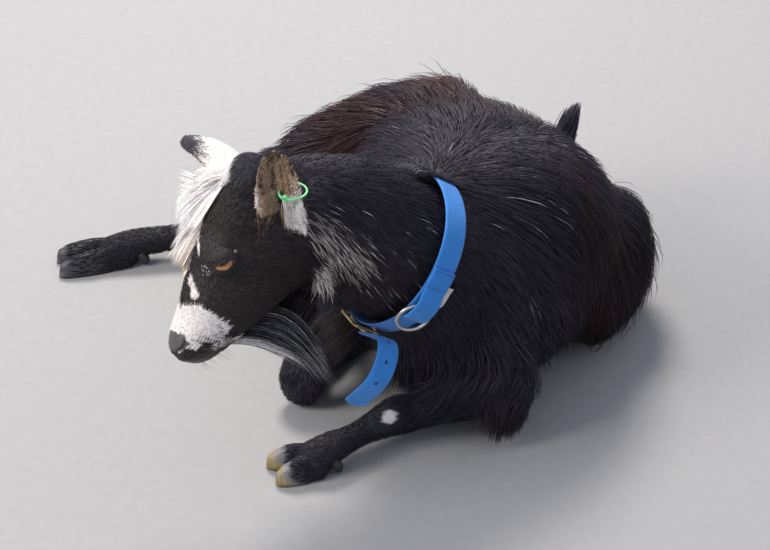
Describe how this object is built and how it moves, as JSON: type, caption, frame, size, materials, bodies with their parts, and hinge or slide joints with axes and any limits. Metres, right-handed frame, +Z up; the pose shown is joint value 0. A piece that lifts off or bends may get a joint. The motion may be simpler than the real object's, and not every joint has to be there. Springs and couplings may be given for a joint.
{
  "type": "lying goat",
  "caption": "Life-size still model of a lying long-haired pygmy goat, black with white markings, wearing a blue webbing collar and an ear ring.",
  "frame": {"origin": "on the floor, under the middle of the bounding box", "axes": "+X to the goat's left, -Y towards its front, +Z up"},
  "size_m": [0.644, 0.6292, 0.3692],
  "materials": {
    "coat": "long straight hair, black with red-brown tints and white markings",
    "white_coat": "long white hair",
    "horn": "dull hoof horn",
    "eye": "wet, amber iris",
    "webbing": "woven blue webbing",
    "label": "blank woven tab",
    "nickel": "plated wire, lightly worn",
    "brass": "cast brass, lightly worn",
    "green_plastic": "thin moulded plastic"
  },
  "bodies": {
    "root": {"trunk": "coat", "neck": "coat", "foreleg_left_upper": "coat", "foreleg_left_lower": "coat", "foreleg_right_upper": "coat", "foreleg_right_lower": "coat", "hindleg_left_upper": "coat", "hindleg_left_lower": "coat", "hindleg_right_upper": "coat", "hindleg_right_lower": "coat", "tail": "coat", "beard": "coat", "wattle_left": "coat", "wattle_right": "coat", "head": "coat", "ear_left": "coat", "ear_right": "coat", "forelock": "white_coat", "claw_fore_left_a": "horn", "dewclaw_fore_left_a": "horn", "claw_fore_left_b": "horn", "dewclaw_fore_left_b": "horn", "claw_fore_right_a": "horn", "dewclaw_fore_right_a": "horn", "claw_fore_right_b": "horn", "dewclaw_fore_right_b": "horn", "claw_hind_left_a": "horn", "dewclaw_hind_left_a": "horn", "claw_hind_left_b": "horn", "dewclaw_hind_left_b": "horn", "claw_hind_right_a": "horn", "dewclaw_hind_right_a": "horn", "claw_hind_right_b": "horn", "dewclaw_hind_right_b": "horn", "eye_left": "eye", "eye_right": "eye", "collar_band": "webbing", "collar_fold": "webbing", "collar_strap_end": "webbing", "collar_label": "label", "collar_ring": "nickel", "buckle_frame": "brass", "buckle_pin": "brass", "ear_ring": "green_plastic"}
  },
  "joints": []
}
